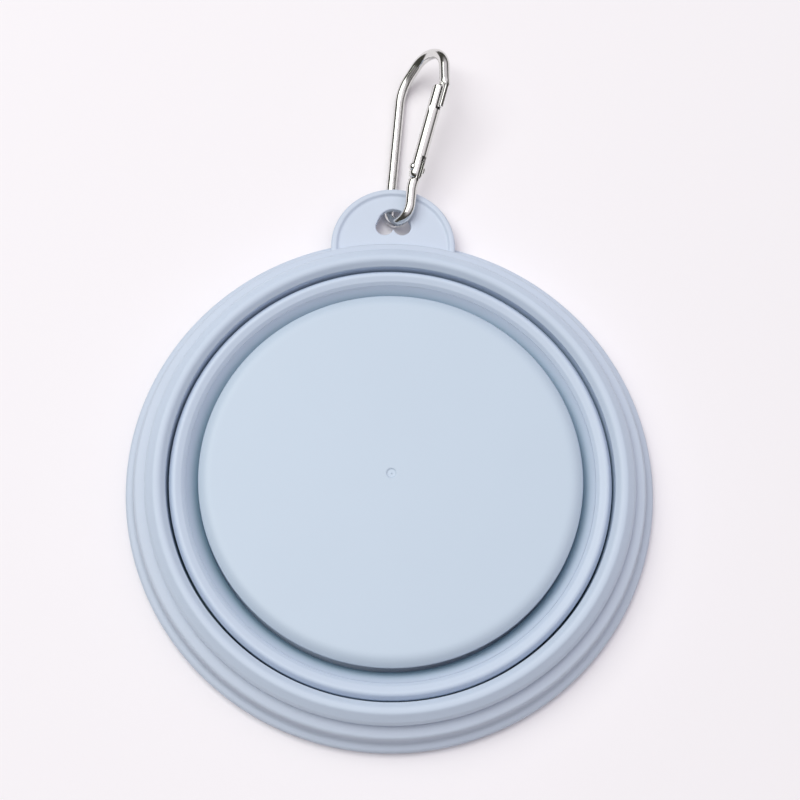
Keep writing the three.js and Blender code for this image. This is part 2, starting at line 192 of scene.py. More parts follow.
class RimSizes(PropertyGroup):
    """Hard rim: lip, riser, flange and tab."""
    lip_width: size("Lip width", "Flat of the lip outside the riser", 2.0)
    lip_height: size("Lip height", "Height of the lip over the table", 3.2)
    lip_round: size("Lip rounding", "Radius of the lip's lower outer edge", 0.8)
    lip_shoulder: size("Lip shoulder", "Radius of the lip's upper outer edge", 0.9)
    lip_fall: size("Lip fall", "How far the lip's top slopes down to its outer edge", 0.6)
    lip_fillet: size("Lip fillet", "Radius between the lip and the riser", 1.0)
    foot_width: size("Foot width", "Width of the lip's foot on the table", 1.4)
    riser_draft: size("Riser draft", "How far the riser leans in", 0.6)
    flange_top: size("Flange top", "Height of the flange that carries the soft ridge", 7.7)
    flange_thickness: size("Flange thickness", "Wall of the flange", 2.5)
    flange_width: size("Flange width", "Flange from its outer to its inner edge", 5.4)
    flange_edge: size("Flange edge", "Rounding of the flange's outer edge", 0.9)
    flange_fall: size("Flange fall", "How far the flange slopes down to its outer edge", 0.7)
    flange_bare: size("Bare flange", "Flange outside the soft ridge", 2.9)
    tab_radius: size("Tab radius", "Radius of the half-round tab", 16.0)
    tab_inside: size("Tab centre", "How far the tab's centre lies inside the rim", 2.3)
    tab_bottom: size("Tab bottom", "Height of the tab's underside", 3.15)
    tab_thickness: size("Tab thickness", "Plate of the tab", 1.65)
    border_width: size("Border width", "Raised border along the tab's edge", 2.2)
    border_height: size("Border height", "How far the border stands over the tab", 0.5)
    border_crest: share("Border crest", "Share of the border's width where its inner side starts to fall", 0.55)
    border_fall: share("Border fall", "Share of the border's width over which its inner side falls", 0.55)
    hole_offset: size("Hole place", "From the tab's centre out to the hole's lobes", 5.4)
    lobe_radius: size("Lobe radius", "Radius of the hole's two lobes", 2.3)
    lobe_across: size("Lobe offset", "From the middle to each lobe's centre", 2.25)
    end_radius: size("Hole end radius", "Radius of the hole's round end", 4.0)
    end_offset: size("Hole end place", "From the lobes out to the round end's centre", 1.0)
    edge_round: size("Edge rounding", "Rounding of the hole's and the tab's edges", 0.25)


class WallSizes(PropertyGroup):
    """Soft wall: ridge, two folding webs, middle ring and base wall."""
    ridge_width: size("Ridge width", "Ridge from its outer to its inner side", 5.2)
    ridge_lip: size("Ridge lip", "Height of the ridge's inner side", 2.8)
    ridge_wall: size("Ridge wall", "Wall of the skirt inside the flange", 1.0)
    slope_width: size("Slope width", "Sloping outer part of the ridge's crest", 2.4)
    slope_drop: size("Slope drop", "How far that slope falls", 2.2)
    seam_depth: size("Seam depth", "How far the ridge's side draws in over the flange", 0.35)
    seam_height: size("Seam height", "Height of that seam", 0.5)
    crest_round: size("Crest rounding", "Rounding from the ridge's crest to its outer slope", 1.2)
    fall_width: size("Fall width", "Sloping inner part of the ridge's crest", 1.4)
    fall_drop: size("Fall drop", "How far that part falls to the slot", 1.3)
    fall_round: size("Fall rounding", "Rounding from the crest to that part", 1.8)
    ring_width: size("Ring width", "Crest of the middle ring", 4.1)
    ring_lip: size("Ring lip", "Height of the middle ring's inner side", 1.5)
    ring_tilt: size("Ring tilt", "How far the middle ring's crest falls inwards", 0.75)
    ring_round: size("Ring rounding", "Rounding along the middle ring's crest", 1.0)
    ring_bevel: size("Ring bevel", "Width of the middle ring's bevelled inner edge", 0.9)
    ring_flank: size("Ring flank", "Sloping outer part of the middle ring's crest", 1.1)
    flank_drop: size("Flank drop", "How far that part falls to the slot", 1.8)
    slot_play: size("Slot play", "Room that the middle ring leaves in the slot beside the ridge", 0.12)
    ring_wall: size("Ring wall", "Wall of the middle ring", 1.4)
    wall_draft: size("Wall draft", "How far the middle ring's wall leans", 0.2)
    web_thickness: size("Web thickness", "Wall of the folding webs", 0.9)
    outer_lean: size("Outer web lean", "How far the outer web leans in", 0.5)
    inner_lean: size("Inner web lean", "How far the inner web leans in", 2.3)
    inner_inset: size("Inner web inset", "How far the inner web's root lies inside the lip", 0.32)
    inner_waist: size("Inner web waist", "How far the inner web bows in at half its height", 0.8)
    # Painted shade: share of the webs' height over which the painted darker teal grows to full
    painted_shade_from: share("Thin part", "Share of the webs' height over which they grow thin", 0.38)
    lean_share: share("Leaning share", "Part of the webs' height over which they lean in", 0.75)
    foot_height: size("Foot height", "Thickness of the webs' turned-under feet", 1.0)
    base_wall: size("Base wall", "Wall of the band around the base", 1.7)
    base_draft: size("Base draft", "How far that band draws in over its foot", 1.8)
    base_flare: size("Base flare", "Height over which the band flares to its foot", 2.0)


class BaseSizes(PropertyGroup):
    """Hard base plate."""
    edge_width: size("Edge width", "Width of the plate's rounded edge", 3.6)
    edge_round: size("Edge rounding", "Height of the plate's rounded edge", 1.65)
    mark_radius: size("Gate mark radius", "Round dimple that the moulding gate leaves", 1.25)
    mark_depth: size("Gate mark depth", "Depth of the dimple", 0.25)
    nub_radius: size("Nub radius", "Broken-off sprue in the dimple", 0.32)
    nub_height: size("Nub height", "Height of the sprue over the dimple's floor", 0.16)


class HookSizes(PropertyGroup):
    """Snap hook: bent wire and slotted gate."""
    wire: size("Wire", "Diameter of the wire", 2.8)
    length: size("Length", "Length of the hook", 49.95)
    narrow_bend: size("Narrow bend", "Radius of the bend in the hole", 4.0)
    heel_straight: size("Heel straight", "Straight run from the narrow bend to the gate", 4.1)
    heel_bend: size("Heel bend", "Radius of the bend under the gate", 4.0)
    heel_end: size("Heel end", "Straight end of the round wire at the gate", 1.2)
    gate_lean: turn("Gate lean", "Angle from the spine to the gate", 15.2)
    shoulder_turn: turn("Shoulder turn", "Turn of the spine towards the nose", 46.0)
    shoulder_bend: size("Shoulder bend", "Radius of that turn", 10.0)
    nose_bend: size("Nose bend", "Radius of the wide bend", 6.6)
    nose_lean: turn("Nose lean", "Heading of the nose against the spine", -8.0)
    nose_straight: size("Nose straight", "Straight run of the nose", 4.5)
    nose_knee: size("Nose knee", "Radius of the knee that turns the nose onto the gate", 3.0)
    nose_outward: size("Nose offset", "How far the nose lies outside the gate's axis", 1.6)
    tongue_thickness: size("Tongue thickness", "Flattened ends of the wire", 1.1)
    heel_tongue_width: size("Heel tongue width", "Width of the flattened heel", 2.6)
    nose_tongue_width: size("Nose tongue width", "Width of the flattened nose", 2.8)
    heel_tongue: size("Heel tongue", "Heel from the rivet to its tip", 2.0)
    nose_tongue: size("Nose tongue", "Length of the flattened nose", 6.5)
    shoulder: size("Tongue shoulder", "Length over which the round wire turns flat", 0.8)
    gate: size("Gate", "Diameter of the gate", 3.5)
    gate_edge: size("Gate edge", "Chamfer at the gate's upper end", 0.3)
    below_rivet: size("Below the rivet", "Gate from the rivet down to its foot", 3.1)
    slot_clearance: size("Slot clearance", "Room beside the tongues in the gate's slots", 0.2)
    end_clearance: size("End clearance", "Room between the gate's ends and the wire", 0.4)
    heel_slot: size("Heel slot", "Slot past the heel's tip", 1.3)
    rivet: size("Rivet", "Diameter of the rivet's shaft", 1.2)
    rivet_head: size("Rivet head", "Diameter of the rivet's heads", 2.0)
    rivet_head_height: size("Rivet head height", "Height of the rivet's heads", 0.6)
    bore: size("Bore", "Diameter of the gate's bore", 1.6)
    plunger: size("Plunger", "Diameter of the plunger", 1.36)
    plunger_length: size("Plunger length", "Length of the plunger", 2.8)
    plunger_gap: size("Plunger gap", "From the heel's tip to the plunger", 0.4)
    spring_wire: size("Spring wire", "Diameter of the spring's wire", 0.26)
    spring_length: size("Spring length", "Length of the spring", 8.2)
    spring_turns: FloatProperty(name="Spring turns", description="Turns of the spring", default=10.0)
    play: size("Play", "Small gap at the spring and the rivet's heads", 0.12)


class Finish(PropertyGroup):
    """Colours and gloss."""
    base_plastic: colour("Base plastic", "Base plate", (0.551, 0.651, 0.780))
    rim_plastic: colour("Rim plastic", "Rim and tab", (0.568, 0.642, 0.770))
    shade: share("Mottling", "Brightness of the faint mottling against the plastic's colour", 0.975)
    hard_roughness: share("Hard roughness", "Roughness of the hard plastic", 0.42)
    soft_plastic: colour("Soft plastic", "Ridge, middle ring and base wall", (0.568, 0.657, 0.798))
    # Painted shade: a darker teal that the webs take on towards the bottom of the folds, standing in for the
    # shade in the groove
    painted_web_shade: colour("Thin plastic", "Webs, through which part of the light goes", (0.290, 0.430, 0.510))
    soft_roughness: share("Soft roughness", "Roughness of the soft plastic", 0.47)
    metal: colour("Plating", "Bright plating of the hook", (0.80, 0.80, 0.78))
    metal_roughness: share("Plating roughness", "Roughness of the plating", 0.135)
    steel: colour("Spring steel", "Spring and plunger", (0.50, 0.50, 0.50))
    steel_roughness: share("Steel roughness", "Roughness of the drawn steel", 0.345)


class StageSizes(PropertyGroup):
    """Floor, light and camera."""
    floor: colour("Floor", "Pale table", (0.925, 0.900, 0.940))
    floor_width: size("Floor width", "Side of the square floor", 40000.0)
    sky_bright: share("Bright sky", "Brightness of the room overhead", 0.985)
    sky_right: share("Bright right", "How far the bright part of the room leans to +X", 0.25)
    sky_far: share("Bright far side", "How far the bright part of the room leans to +Y", 0.14)
    sky_start: share("Start of the bright sky", "Height of the direction where the dark ends", 0.42)
    sky_end: share("Full bright sky", "Height of the direction where the room is brightest", 1.05)
    sky_tint: colour("Sky tint", "Colour of the room overhead", (1.0, 0.95, 1.0))
    sky_shade: colour("Sky shade", "Colour of the room low down", (0.06, 0.058, 0.05))
    lamp_tint: colour("Lamp tint", "Colour of the lamp", (0.98, 1.0, 0.95))
    lamp_power: FloatProperty(name="Lamp", description="Power of the soft lamp", default=36.2, unit="POWER")
    lamp_width: size("Lamp width", "Side of the square lamp", 2000.0)
    lamp_distance: size("Lamp distance", "From the bowl to the lamp", 2200.0)
    lamp_azimuth: turn("Lamp azimuth", "Direction of the lamp, from +X towards +Y", 146.0)
    lamp_elevation: turn("Lamp elevation", "Height of the lamp over the table", 61.0)
    camera_x: size("Camera X", "Camera across the bowl's axis", -6.8)
    camera_y: size("Camera Y", "Camera along the tab, from the bowl's axis", -95.3)
    camera_z: size("Camera Z", "Camera over the table", 359.1)
    camera_pitch: turn("Camera pitch", "How steeply the camera looks down", 71.8)
    camera_yaw: turn("Camera yaw", "Heading of the camera, from +Y towards +X", 4.38)
    camera_roll: turn("Camera roll", "Turn of the picture", 5.08)
    focal_length: FloatProperty(name="Focal length", description="In millimetres, for a 36 mm wide picture",
                                default=67.28)


class BowlSettings(PropertyGroup):
    """All settings of the bowl and its stage."""
    rim: PointerProperty(name="Rim", description="Sizes of the hard rim", type=RimSizes)
    wall: PointerProperty(name="Wall", description="Sizes of the soft wall", type=WallSizes)
    base: PointerProperty(name="Base", description="Sizes of the base plate", type=BaseSizes)
    hook: PointerProperty(name="Hook", description="Sizes of the snap hook", type=HookSizes)
    finish: PointerProperty(name="Finish", description="Colours and gloss", type=Finish)
    stage: PointerProperty(name="Stage", description="Floor, light and camera", type=StageSizes)


# Surfaces

def grid(points, loop=False, ends=None):
    """Vertices and faces of a stack of closed rings of points. The cells join each ring to the next and look
    along (next ring) x (next point). loop joins the last ring to the first; ends are two points that close
    the first and the last ring with fans."""
    rings, count = points.shape[:2]
    vertices = points.reshape(-1, 3)
    first = np.arange(rings if loop else rings - 1)[:, None] * count
    second = (first + count) % (rings * count)
    here = np.arange(count)
    there = (here + 1) % count
    cells = np.stack(np.broadcast_arrays(first + here, second + here, second + there, first + there), -1)
    faces = cells.reshape(-1, 4).tolist()
    if ends is not None:
        last = (rings - 1) * count
        tip = len(vertices)
        vertices = np.vstack([vertices, ends])
        faces += np.stack([here, there, np.full(count, tip)], -1).tolist()
        faces += np.stack([last + there, last + here, np.full(count, tip + 1)], -1).tolist()
    return vertices, faces


def rounded(corners):
    """Closed outline whose corners are arcs, from corners (x, y, radius). At a corner of half angle h the arc
    of radius R touches its sides R / tan h away, about a centre R / sin h along the bisector. Two arcs too
    large for their side shrink alike. A guard point beside each end of an arc keeps the flats flat."""
    most = 0.96
    guard = 0.35
    corners = np.array(corners)
    corner = corners[:, :2]
    back = np.roll(corner, 1, 0) - corner
    ahead = np.roll(corner, -1, 0) - corner
    back_length = np.linalg.norm(back, axis=1, keepdims=True)
    ahead_length = np.linalg.norm(ahead, axis=1, keepdims=True)
    back = back / back_length
    ahead = ahead / ahead_length
    half = np.arccos(np.clip((back * ahead).sum(1, keepdims=True), -1, 1)) / 2
    reach = corners[:, 2:] / np.tan(half)
    fit = np.minimum(1, most * ahead_length / (reach + np.roll(reach, -1, 0)))
    reach = reach * np.minimum(fit, np.roll(fit, 1, 0))
    flat = ahead_length - reach - np.roll(reach, -1, 0)
    arc = reach * np.tan(half)
    centre = corner + unit(back + ahead) * arc / np.sin(half)
    start = corner + back * reach - centre
    finish = corner + ahead * reach - centre
    angle = np.arctan2(start[:, 1], start[:, 0])
    swing = np.arctan2(finish[:, 1], finish[:, 0]) - angle
    swing = (swing + np.pi) % (2 * np.pi) - np.pi
    angles = angle[:, None] + swing[:, None] * np.linspace(0, 1, ARC_STEPS + 1)
    arcs = centre[:, None] + arc[:, None] * np.stack([np.cos(angles), np.sin(angles)], -1)
    before = corner + back * (reach + guard * np.minimum(reach, np.roll(flat, 1, 0)))
    after = corner + ahead * (reach + guard * np.minimum(reach, flat))
    return np.concatenate([before[:, None], arcs, after[:, None]], 1).reshape(-1, 2)


def unit(vectors):
    """The same directions, each one long."""
    return vectors / np.linalg.norm(vectors, axis=-1, keepdims=True)


def full_turn(count):
    """Angles of points evenly spaced around a circle."""
    return np.linspace(0, 2 * np.pi, count, endpoint=False)


def revolved(outline):
    """A row of points about the bowl's axis for each (radius, height) of an outline."""
    angle = full_turn(RING_SIDES)
    r, z = (column[:, None] for column in outline.T)
    points = [r * np.cos(angle), AXIS_Y + r * np.sin(angle), np.broadcast_to(z, (len(z), RING_SIDES))]
    return np.stack(points, -1)


def ring(section):
    """A closed section of (radius, height) points, counter-clockwise, turned about the bowl's axis."""
    return grid(revolved(section).swapaxes(0, 1), loop=True)


def disc(profile, low, high):
    """A profile of (radius, height) points from the top of the axis round to its bottom, turned about the
    bowl's axis and closed there at the heights high and low."""
    return grid(revolved(profile), ends=[(0, AXIS_Y, high), (0, AXIS_Y, low)])


def strip(line, thickness):
    """Closed section of a thin wall: a line of (radius, height) points moved half the thickness along its
    normal to both sides."""
    run = np.gradient(line, axis=0)
    normal = unit(np.stack([run[:, 1], -run[:, 0]], -1)) * thickness / 2
    return np.concatenate([line + normal, (line - normal)[::-1]])


def carried(centres, across, up, a, b):
    """Rings of points centre + a * across + b * up, one for each station of a path. With across = tangent x up
    and (a, b) counter-clockwise, the faces look outwards."""
    return centres[:, None] + a[..., None] * across[:, None] + b[..., None] * up[:, None]


def smooth(x):
    """The cubic 3x^2 - 2x^3 on 0..1, flat at both ends."""
    x = np.clip(x, 0, 1)
    return x * x * (3 - 2 * x)


def exit_distance(direction, centre, reach):
    """Distance along unit directions from a point inside a circle of radius reach to its edge: with p the
    centre's projection on the direction, p + sqrt(p^2 - |centre|^2 + reach^2)."""
    projection = direction @ np.asarray(centre)
    return projection + np.sqrt(np.maximum(projection ** 2 - np.dot(centre, centre) + reach ** 2, 0))


def joined(parts):
    """Several surfaces as one list of vertices and faces."""
    vertices = np.vstack([part[0] for part in parts])
    starts = np.cumsum([0] + [len(part[0]) for part in parts])
    faces = [[corner + start for corner in face] for part, start in zip(parts, starts) for face in part[1]]
    return vertices, faces


def make_piece(name, surface, material, sharp=None, painted_shade_share=None):
    """Puts a surface into a mesh object at the origin. sharp is the angle past which an edge isn't smoothed;
    the last argument is a value for each vertex that the material reads as its share of painted shade."""
    vertices, faces = surface
    mesh = bpy.data.meshes.new(name)
    mesh.from_pydata(vertices.tolist(), [], faces)
    if mesh.validate():
        raise ValueError(f"{name} has faces that are not valid")
    if painted_shade_share is not None:
        mesh.attributes.new("painted_shade_share", "FLOAT", "POINT").data.foreach_set("value", painted_shade_share)
    mesh.shade_smooth()
    if sharp is not None:
        mesh.set_sharp_from_angle(angle=sharp)
    mesh.materials.append(material)
    piece = bpy.data.objects.new(name, mesh)
    bpy.context.scene.collection.objects.link(piece)
    return piece


# Materials

class Nodes:
    """Short way to the node tree of a material or a world."""

    def __init__(self, owner, shader="Principled BSDF"):
        owner.use_nodes = True
        self.owner = owner
        self.tree = owner.node_tree
        self.shader = self.tree.nodes[shader]

    def add(self, kind, **values):
        """A new node with these inputs and settings."""
        node = self.tree.nodes.new(kind)
        for key, value in values.items():
            if key in node.inputs:
                node.inputs[key].default_value = value
            else:
                setattr(node, key, value)
        return node

    def link(self, source, target):
        self.tree.links.new(source, target)

    def place(self, origin=(0, 0, 0), heading=0, stretch=1):
        """Object coordinates about a point, turned about Z and stretched along their own Y."""
        mapping = self.add("ShaderNodeMapping", vector_type="TEXTURE", Location=origin,
                           Rotation=(0, 0, heading), Scale=(1, stretch, 1))
        self.link(self.add("ShaderNodeTexCoord").outputs["Object"], mapping.inputs["Vector"])
        return mapping.outputs["Vector"]

    def noise(self, vector, cell, detail):
        """Noise whose blobs are about one cell across."""
        node = self.add("ShaderNodeTexNoise", Scale=1 / cell, Detail=detail)
        self.link(vector, node.inputs["Vector"])
        return node.outputs["Fac"]

    def mixed(self, factor, first, second):
        """A colour, or another node's, mixed with a second one."""
        mix = self.add("ShaderNodeMix", data_type="RGBA")
        colours = [socket for socket in mix.inputs if socket.type == "RGBA"]
        colours[1].default_value = (*second, 1)
        if isinstance(first, bpy.types.NodeSocket):
            self.link(first, colours[0])
        else:
            colours[0].default_value = (*first, 1)
        self.link(factor, mix.inputs["Factor"])
        return next(socket for socket in mix.outputs if socket.type == "RGBA")

    def around(self, value, middle, spread):
        """A value from 0 to 1, carried to as much as the spread below and above a middle."""
        node = self.add("ShaderNodeMapRange")
        node.inputs["To Min"].default_value = middle - spread
        node.inputs["To Max"].default_value = middle + spread
        self.link(value, node.inputs["Value"])
        return node.outputs["Result"]

    def bump(self, height, depth, below=None):
        """Relief of a real depth; below is the normal of a relief that it lies on."""
        node = self.add("ShaderNodeBump", Strength=1.0, Distance=depth)
        self.link(height, node.inputs["Height"])
        if below is not None:
            self.link(below, node.inputs["Normal"])
        return node.outputs["Normal"]

    def finished(self, colour, roughness, normal):
        """The material, once its shader has these."""
        for socket, name in ((colour, "Base Color"), (roughness, "Roughness"), (normal, "Normal")):
            self.link(socket, self.shader.inputs[name])
        return self.owner


def shaded(tint, part):
    """A colour darkened to a part of itself."""
    return tuple(part * channel for channel in tint)


def hard_plastic(name, tint, finish):
    """Satin moulded plastic: fine spark-eroded grain, slow sink marks and faint mottling."""
    nodes = Nodes(bpy.data.materials.new(name))
    place = nodes.place(origin=(0, AXIS_Y, 0))
    mottling = nodes.noise(place, SINK_CELL, detail=3.0)
    grain = nodes.noise(place, HARD_GRAIN, detail=3.0)
    return nodes.finished(
        nodes.mixed(mottling, tint, shaded(tint, finish.shade)),
        nodes.around(grain, finish.hard_roughness, HARD_SPREAD),
        nodes.bump(grain, GRAIN_DEPTH, nodes.bump(mottling, SINK_DEPTH)))


def soft_plastic(name, finish, with_painted_shade=False):
    """Soft moulded plastic: silkier grain, and flow lines that run around the bowl. On the webs a per-vertex
    share
    mixes in a darker teal: painted shade, darker towards the bottom of the folds."""
    nodes = Nodes(bpy.data.materials.new(name))
    tint = finish.soft_plastic
    place = nodes.place(origin=(0, AXIS_Y, 0))
    flow = nodes.add("ShaderNodeTexWave", wave_type="RINGS", rings_direction="Z", Scale=1 / FLOW_CELL,
                     Distortion=5.0, Detail=2.0)
    flow.inputs["Detail Scale"].default_value = 0.6
    nodes.link(place, flow.inputs["Vector"])
    mottling = nodes.noise(place, SOFT_CELL, detail=3.0)
    grain = nodes.noise(place, SOFT_GRAIN, detail=2.0)
    colour = nodes.mixed(mottling, tint, shaded(tint, finish.shade))
    # Painted shade: a darker teal mixed in by the per-vertex share, darkest towards the bottom of the webs
    if with_painted_shade:
        painted_shade_share = nodes.add("ShaderNodeAttribute", attribute_name="painted_shade_share").outputs["Fac"]
        colour = nodes.mixed(painted_shade_share, colour, finish.painted_web_shade)
    ripple = nodes.bump(flow.outputs["Fac"], FLOW_DEPTH)
    return nodes.finished(
        colour,
        nodes.around(mottling, finish.soft_roughness, SOFT_SPREAD),
        nodes.bump(grain, GRAIN_DEPTH, ripple))


def drawn_metal(name, tint, worn, roughness, heading, streak):
    """Metal with fine streaks along its length, and a little wear between them."""
    nodes = Nodes(bpy.data.materials.new(name))
    nodes.shader.inputs["Metallic"].default_value = 1.0
    scratches = nodes.noise(nodes.place(heading=heading, stretch=streak), SCRATCH_CELL, detail=3.0)
    wear = nodes.noise(nodes.place(), WEAR_CELL, detail=4.0)
    return nodes.finished(
        nodes.mixed(wear, tint, shaded(tint, worn)),
        nodes.around(wear, roughness, METAL_SPREAD),
        nodes.bump(scratches, SCRATCH_DEPTH, nodes.bump(wear, WEAR_DEPTH)))


def plating(finish):
    """Bright plating, with streaks along the hook."""
    heading = math.atan2(-HookShape.spine[0], HookShape.spine[1])
    return drawn_metal("hook_plating", finish.metal, PLATING_WEAR, finish.metal_roughness, heading,
                       PLATING_STREAK)


def steel(finish):
    """Drawn steel of the spring and the plunger."""
    return drawn_metal("coil_steel", finish.steel, STEEL_WEAR, finish.steel_roughness, 0, STEEL_STREAK)


# Rim

def rim_section(rim):
    """Outline of the rim: foot, rounded lip, riser, flange, and the hollow under it."""
    outer = radius("rim_ring")
    inner = outer - rim.lip_width
    foot = outer - rim.lip_round - rim.foot_width
    flange = inner - rim.riser_draft
    under = rim.flange_top - rim.flange_thickness
    edge = rim.edge_round
    return rounded([
        (foot, 0, edge),
        (outer, 0, rim.lip_round),
        (outer, rim.lip_height - rim.lip_fall, rim.lip_shoulder),
        (inner, rim.lip_height, rim.lip_fillet),
        (flange, rim.flange_top - rim.flange_fall, rim.flange_edge),
        (flange - rim.flange_bare, rim.flange_top, edge),
        (flange - rim.flange_width, rim.flange_top, edge / 2),
        (flange - rim.flange_width, under, edge),
        (foot - 2 * rim.riser_draft, under, 2 * edge),
    ])


def tab_surface(rim):
    """Half-round tab with a raised border and a two-lobed hole. Around a point in the hole, each direction u
    has a closed section: underside, outer wall, border, flat and hole wall. Its radii lie between the exit
    distance of the hole, the largest of its circles', and that of the tab, the least of its outline's and the
    rim's."""
    u = full_turn(TAB_SIDES)
    way = np.stack([np.cos(u), np.sin(u)], -1)
    rim_radius = radius("rim_ring")
    tab_centre = rim_radius - rim.tab_inside
    rise = rim.hole_offset + rim.end_offset
    pole = tab_centre + rise
    bury = rim_radius - rim.lip_width - rim.foot_width / 2

    lobes = [exit_distance(way, (side * rim.lobe_across, -rim.end_offset), rim.lobe_radius)
             for side in (-1, 1)]
    steps = [(1 - f, rim.lobe_radius + f * (rim.end_radius - rim.lobe_radius))
             for f in np.linspace(0, 1, FILL_STEPS)]
    fill = [exit_distance(way, (side * rim.lobe_across * k, -rim.end_offset * k), r)
            for k, r in steps for side in (-1, 1)]
    below = np.where(way[:, 1] < 0, rim.end_offset / np.maximum(-way[:, 1], MM), np.inf)
    hole = np.maximum(np.max(lobes, 0), np.minimum(np.max(fill, 0), below))

    reach = pole ** 2 * (way[:, 1] ** 2 - 1) + bury ** 2
    to_rim = -pole * way[:, 1] - np.sqrt(np.maximum(reach, 0))
    to_rim = np.where((reach > 0) & (way[:, 1] < 0), to_rim, np.inf)

    def outline(inset, order):
        """Distance to the tab's outline moved in by inset; order keeps the rows apart where the rim cuts
        them."""
        round_part = exit_distance(way, (0, -rise), rim.tab_radius - inset)
        sides = (rim.tab_radius - inset) / np.maximum(np.abs(way[:, 0]), MM)
        distance = np.where(rise + round_part * way[:, 1] >= 0, round_part, sides)
        return np.minimum(distance, to_rim - order * ROW_GAP)

    edge = rim.edge_round
    flat = rim.tab_bottom + rim.tab_thickness
    crest = flat + rim.border_height
    wall_arc = np.linspace(0, np.pi / 2, ARC_STEPS + 1)
    quarter = list(zip(np.sin(wall_arc), np.cos(wall_arc)))
    border_round = BORDER_ROUND * edge
    crest_end = rim.border_width * rim.border_crest
    fall_run = rim.border_width * rim.border_fall
    rows = [(outline(edge * (1 - s), 0), rim.tab_bottom + edge * (1 - c)) for s, c in quarter]
    rows += [(outline(border_round * (1 - c), i), crest - border_round * (1 - s))
             for i, (s, c) in enumerate(quarter)]
    fall_end = crest_end + BORDER_PAST * fall_run
    inset = np.concatenate([np.linspace(border_round, crest_end, CREST_ROWS)[1:],
                            np.linspace(crest_end, fall_end, FALL_ROWS)[1:]])
    fall = crest - rim.border_height * smooth((inset - crest_end) / fall_run)
    rows += [(outline(d, ARC_STEPS + i), z) for i, (d, z) in enumerate(zip(inset, fall), 1)]
    inner = rows[-1][0]
    rim_of_hole = hole + edge
    rows += [(inner + (rim_of_hole - inner) * f, flat) for f in np.linspace(0, 1, FLAT_ROWS)[1:-1]]
    rows += [(hole + edge * (1 - s), flat - edge * (1 - c)) for s, c in quarter]
    rows += [(hole + edge * (1 - c), rim.tab_bottom + edge * (1 - s)) for s, c in quarter]
    start = rows[0][0]
    rows += [(rim_of_hole + (start - rim_of_hole) * f, rim.tab_bottom)
             for f in np.linspace(0, 1, UNDER_ROWS)[1:-1]]

    distance = np.stack([row[0] for row in rows], -1)
    height = np.broadcast_to([row[1] for row in rows], distance.shape)
    x = distance * way[:, :1]
    y = pole + distance * way[:, 1:]
    depth = rim.tab_radius - np.where(y > tab_centre, np.hypot(x, y - tab_centre), np.abs(x))
    ease = np.where(depth > crest_end, 1 - smooth((depth - crest_end) / fall_run), 1)
    height = np.where(height > flat, flat + (height - flat) * ease, height)
    return grid(np.stack([x, AXIS_Y + y, height], -1), loop=True)


# Soft wall

def ridge_section(rim, wall):
    """Outline of the soft ridge: a skirt inside the flange, a side over a seam, a crest that slopes to both
    sides, and a lip."""
    outer = radius("rim_bead")
    inner = outer - wall.ridge_width
    high = top("rim_bead")
    skirt_foot = bottom("rim_bead")
    flange = radius("rim_ring") - rim.lip_width - rim.riser_draft - rim.flange_width - BOND
    skirt = flange - wall.ridge_wall
    seat = rim.flange_top + BOND
    seam = outer - wall.seam_depth
    root = high - wall.ridge_lip
    return rounded([
        (skirt, skirt_foot, MOULD_EDGE),
        (flange, skirt_foot, MOULD_EDGE),
        (flange, seat, CRISP_EDGE),
        (seam, seat, CRISP_EDGE),
        (seam, seat + wall.seam_height, CRISP_EDGE),
        (outer, seat + wall.seam_height + wall.seam_depth, FINE_EDGE),
        (outer, high - wall.slope_drop - CRISP_EDGE, MOULD_EDGE),
        (outer - wall.slope_width / 4, high - wall.slope_drop * 2 / 3, FULL_EDGE),
        (outer - wall.slope_width, high, wall.crest_round),
        (inner + wall.fall_width, high, wall.fall_round),
        (inner, high - wall.fall_drop, FULL_EDGE),
        (inner, root, FINE_EDGE),
        (skirt, root, MOULD_EDGE),
    ])


def middle_section(wall):
    """Outline of the middle ring: straight wall, sloping flank, crest and bevelled inner edge."""
    outer = radius("middle_band") - wall.slot_play
    foot = radius("middle_band") - wall.wall_draft
    inner = radius("middle_band") - wall.ring_width
    high = top("middle_band")
    low = bottom("middle_band")
    root = high - wall.ring_lip
    hollow = foot - wall.ring_wall
    return rounded([
        (hollow, low, MOULD_EDGE),
        (foot, low, FINE_EDGE),
        (outer, root - wall.flank_drop, FINE_EDGE),
        (outer, high - wall.flank_drop, BLUNT_EDGE),
        (outer - wall.ring_flank, high, wall.ring_round),
        (inner + wall.ring_bevel, high - wall.ring_tilt, wall.ring_round),
        (inner, root, KEEN_EDGE),
        (hollow, root, MOULD_EDGE),
    ])


def base_wall_section(wall):
    """Outline of the band that holds the base plate."""
    outer = radius("base_band")
    low = bottom("base_band")
    high = top("base_band")
    inner = outer - wall.base_wall
    return rounded([
        (inner, low, MOULD_EDGE),
        (outer, low, FINE_EDGE),
        (outer, low + wall.foot_height, BLUNT_EDGE),
        (outer - wall.base_draft, low + wall.foot_height + wall.base_flare, FLARE_ROUND),
        (outer - wall.base_draft, high, CRISP_EDGE),
        (inner - wall.base_draft, high, CRISP_EDGE),
    ])


